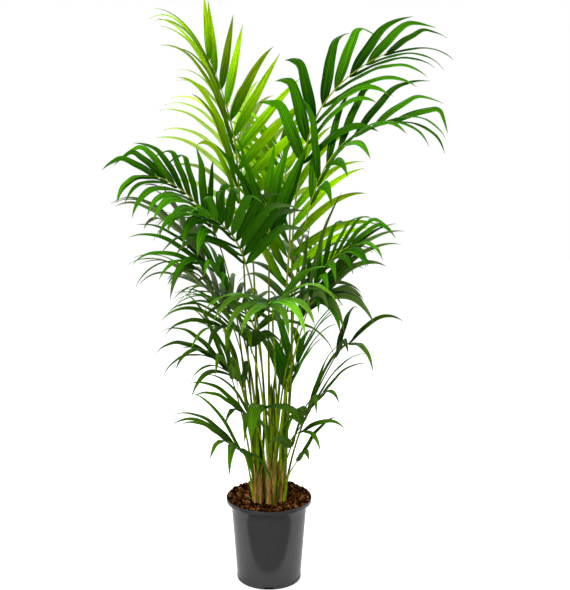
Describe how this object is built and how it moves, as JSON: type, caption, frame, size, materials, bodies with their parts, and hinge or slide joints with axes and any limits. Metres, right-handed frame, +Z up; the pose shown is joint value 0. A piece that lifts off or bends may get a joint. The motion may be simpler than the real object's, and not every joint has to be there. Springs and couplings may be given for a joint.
{
  "type": "potted palm",
  "caption": "Tall potted palm: slim green stems in a flared grey nursery pot, with long arching feather-shaped fronds.",
  "frame": {"origin": "middle of the pot's flat underside, where the pot's axis meets the floor", "axes": "+Z up along the pot's axis, -Y towards the front of the plant, +X to its right seen from the front"},
  "size_m": [0.9096, 0.9407, 1.6704],
  "materials": {
    "pot_plastic": "dark grey, satin",
    "bark_soil": "loose bark and coconut fibre",
    "stem_green": "smooth yellow-green",
    "dry_sheath": "dry, fibrous, torn",
    "leaf_lime": "bright yellow-green, light shows through",
    "leaf_pale": "pale yellow-green, light shows through",
    "leaf_fresh": "fresh green, semi-gloss",
    "leaf_green": "mid green, semi-gloss",
    "leaf_grey": "grey-green, matte",
    "leaf_deep": "deep green, glossy above"
  },
  "bodies": {
    "root": {"pot": "pot_plastic", "soil": "bark_soil", "stem_front_left": "stem_green", "stem_left": "stem_green", "stem_front": "stem_green", "stem_right": "stem_green", "stem_back": "stem_green", "sheath_front": "dry_sheath", "sheath_front_left": "dry_sheath", "sheath_right": "dry_sheath", "sheath_left": "dry_sheath", "sheath_back": "dry_sheath", "crown_centre_frond": "leaf_deep", "top_left_frond": "leaf_lime", "top_back_frond": "leaf_pale", "centre_back_frond": "leaf_lime", "high_right_frond": "leaf_deep", "right_arching_frond": "leaf_deep", "long_left_frond": "leaf_deep", "front_left_fan": "leaf_deep", "left_grey_frond": "leaf_grey", "left_low_arch": "leaf_deep", "left_back_arch": "leaf_grey", "right_mid_frond": "leaf_deep", "right_long_arch": "leaf_grey", "front_light_frond": "leaf_fresh", "right_thin_frond": "leaf_green", "right_low_frond": "leaf_green", "right_base_frond": "leaf_green", "soil_right_shoot": "leaf_green", "left_mid_frond": "leaf_green", "front_left_frond": "leaf_green", "left_inner_frond": "leaf_green", "left_base_frond": "leaf_green", "left_base_shoot": "leaf_green", "young_front_leaf": "leaf_green", "centre_upright_frond": "leaf_deep", "back_right_frond": "leaf_grey", "back_left_frond": "leaf_green"}
  },
  "joints": []
}
